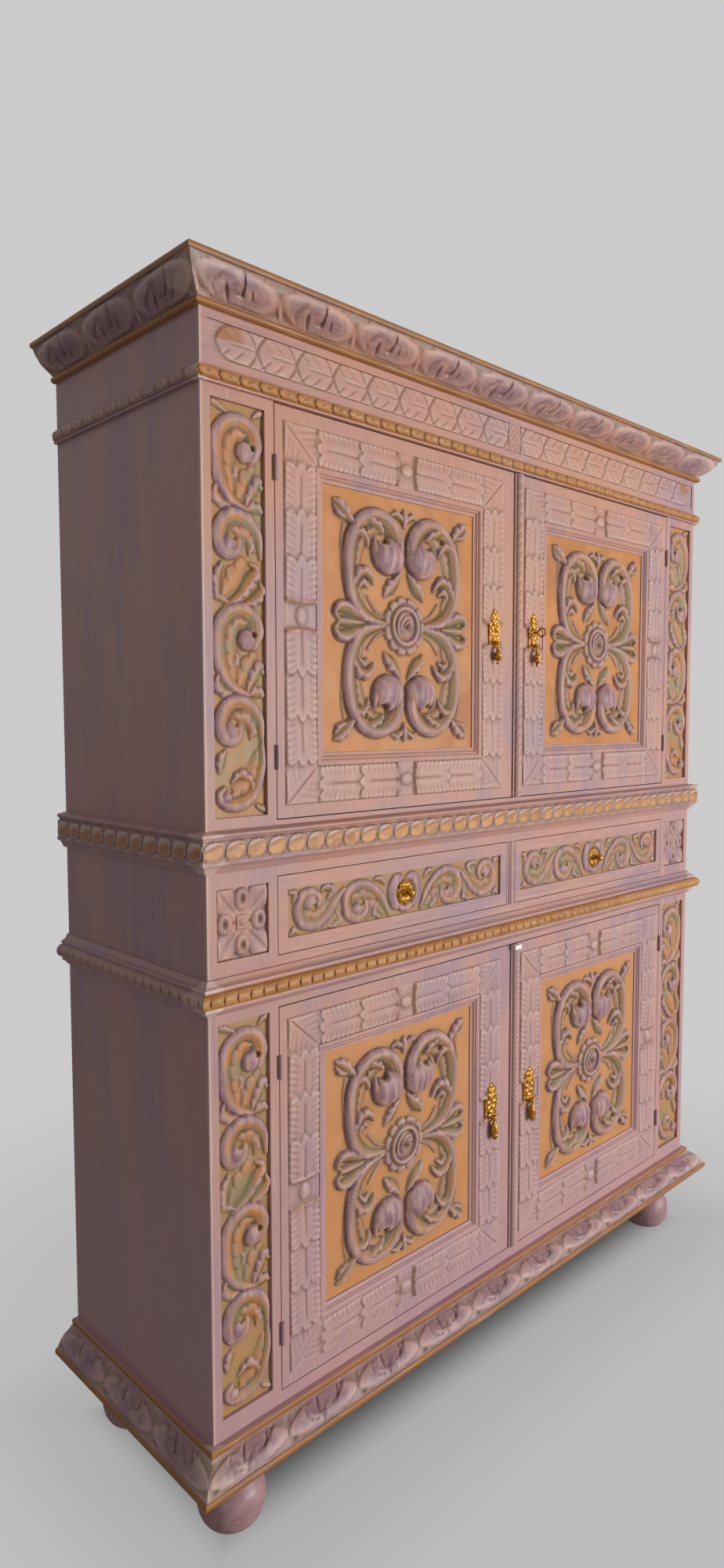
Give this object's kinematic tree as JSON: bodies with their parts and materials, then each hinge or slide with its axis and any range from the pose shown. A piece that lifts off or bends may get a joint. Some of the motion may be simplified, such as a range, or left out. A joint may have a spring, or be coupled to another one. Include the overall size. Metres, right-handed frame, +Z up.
{
  "type": "two-part cabinet",
  "caption": "Carved two-part wooden cabinet on bun feet, with hinged panel doors above and below a row of drawers, gadrooned waist, frieze and cornice.",
  "frame": {"origin": "on the floor, under the middle of the outside box", "axes": "+Z up, the front faces -Y, +X to the right seen from the front"},
  "size_m": [1.6, 0.5, 2],
  "materials": {
    "painted_wood": "streaky mauve wash",
    "plain_wood": "bare planed",
    "brass": "aged satin",
    "steel": "dull"
  },
  "bodies": {
    "cabinet": {"base_moulding": "painted_wood", "bun_feet": "painted_wood", "case_hinges": "brass", "cornice_moulding": "painted_wood", "drawer_divider": "painted_wood", "drawer_runners": "plain_wood", "dust_board": "plain_wood", "frieze": "painted_wood", "gadroon_moulding": "painted_wood", "locating_dowels": "plain_wood", "lower_back": "plain_wood", "lower_bead_moulding": "painted_wood", "lower_floor": "plain_wood", "lower_posts": "painted_wood", "lower_rails": "painted_wood", "lower_shelf": "plain_wood", "lower_sides": "painted_wood", "lower_top": "painted_wood", "paterae": "painted_wood", "plinth_frame": "plain_wood", "shelf_cleats": "plain_wood", "upper_back": "plain_wood", "upper_bead_moulding": "painted_wood", "upper_floor": "plain_wood", "upper_posts": "painted_wood", "upper_rails": "painted_wood", "upper_shelves": "plain_wood", "upper_sides": "painted_wood", "upper_top": "plain_wood"},
    "upper_left_door": {"upper_left_door_frame": "painted_wood", "upper_left_door_panel": "painted_wood", "upper_left_door_trim": "painted_wood", "upper_left_door_fittings": "brass"},
    "upper_left_drop": {"upper_left_drop": "brass"},
    "upper_right_door": {"upper_right_door_frame": "painted_wood", "upper_right_door_panel": "painted_wood", "upper_right_door_trim": "painted_wood", "upper_right_door_fittings": "brass"},
    "upper_right_drop": {"upper_right_drop": "brass"},
    "lower_left_door": {"lower_left_door_frame": "painted_wood", "lower_left_door_panel": "painted_wood", "lower_left_door_trim": "painted_wood", "lower_left_door_fittings": "brass"},
    "lower_left_drop": {"lower_left_drop": "brass"},
    "lower_right_door": {"lower_right_door_frame": "painted_wood", "lower_right_door_panel": "painted_wood", "lower_right_door_trim": "painted_wood", "lower_right_door_fittings": "brass"},
    "lower_right_drop": {"lower_right_drop": "brass"},
    "left_drawer": {"left_drawer_front": "painted_wood", "left_drawer_box": "plain_wood", "left_drawer_knob": "brass"},
    "right_drawer": {"right_drawer_front": "painted_wood", "right_drawer_box": "plain_wood", "right_drawer_knob": "brass"},
    "door_key": {"door_key": "brass"},
    "upper_lock_bolt": {"upper_lock_bolt": "steel"},
    "lower_lock_bolt": {"lower_lock_bolt": "steel"},
    "upper_slide_bolt": {"upper_slide_bolt": "steel"},
    "lower_slide_bolt": {"lower_slide_bolt": "steel"}
  },
  "joints": [
    {"name": "upper_left_door_hinge", "type": "hinge", "parent": "cabinet", "child": "upper_left_door", "pos_m": [-0.614, -0.2054, 1.18], "axis": [0, 0, -1], "range_deg": [0, 110]},
    {"name": "upper_left_drop_swing", "type": "hinge", "parent": "upper_left_door", "child": "upper_left_drop", "pos_m": [-0.065, -0.2155, 1.49], "axis": [-1, 0, 0], "range_deg": [0, 75]},
    {"name": "upper_right_door_hinge", "type": "hinge", "parent": "cabinet", "child": "upper_right_door", "pos_m": [0.614, -0.2054, 1.18], "axis": [0, 0, 1], "range_deg": [0, 110]},
    {"name": "upper_right_drop_swing", "type": "hinge", "parent": "upper_right_door", "child": "upper_right_drop", "pos_m": [0.065, -0.2155, 1.49], "axis": [-1, 0, 0], "range_deg": [0, 75]},
    {"name": "upper_lock_bolt_slide", "type": "slide", "parent": "upper_right_door", "child": "upper_lock_bolt", "axis": [-1, 0, 0], "range_m": [0, 0.012]},
    {"name": "upper_slide_bolt_slide", "type": "slide", "parent": "upper_left_door", "child": "upper_slide_bolt", "axis": [0, 0, 1], "range_m": [0, 0.014]},
    {"name": "lower_left_door_hinge", "type": "hinge", "parent": "cabinet", "child": "lower_left_door", "pos_m": [-0.614, -0.2054, 0.219], "axis": [0, 0, -1], "range_deg": [0, 110]},
    {"name": "lower_left_drop_swing", "type": "hinge", "parent": "lower_left_door", "child": "lower_left_drop", "pos_m": [-0.065, -0.2155, 0.526], "axis": [-1, 0, 0], "range_deg": [0, 75]},
    {"name": "lower_right_door_hinge", "type": "hinge", "parent": "cabinet", "child": "lower_right_door", "pos_m": [0.614, -0.2054, 0.219], "axis": [0, 0, 1], "range_deg": [0, 110]},
    {"name": "lower_right_drop_swing", "type": "hinge", "parent": "lower_right_door", "child": "lower_right_drop", "pos_m": [0.065, -0.2155, 0.526], "axis": [-1, 0, 0], "range_deg": [0, 75]},
    {"name": "lower_lock_bolt_slide", "type": "slide", "parent": "lower_right_door", "child": "lower_lock_bolt", "axis": [-1, 0, 0], "range_m": [0, 0.012]},
    {"name": "lower_slide_bolt_slide", "type": "slide", "parent": "lower_left_door", "child": "lower_slide_bolt", "axis": [0, 0, 1], "range_m": [0, 0.014]},
    {"name": "door_key_turn", "type": "hinge", "parent": "upper_right_door", "child": "door_key", "pos_m": [0.065, -0.19, 1.5173], "axis": [0, 1, 0], "range_deg": [0, 180]},
    {"name": "left_drawer_slide", "type": "slide", "parent": "cabinet", "child": "left_drawer", "axis": [0, -1, 0], "range_m": [0, 0.28]},
    {"name": "right_drawer_slide", "type": "slide", "parent": "cabinet", "child": "right_drawer", "axis": [0, -1, 0], "range_m": [0, 0.28]}
  ],
  "couplings": [
    {"joint": "door_key_turn", "follows": "upper_lock_bolt_slide", "rad_per_m": 261.79}
  ]
}
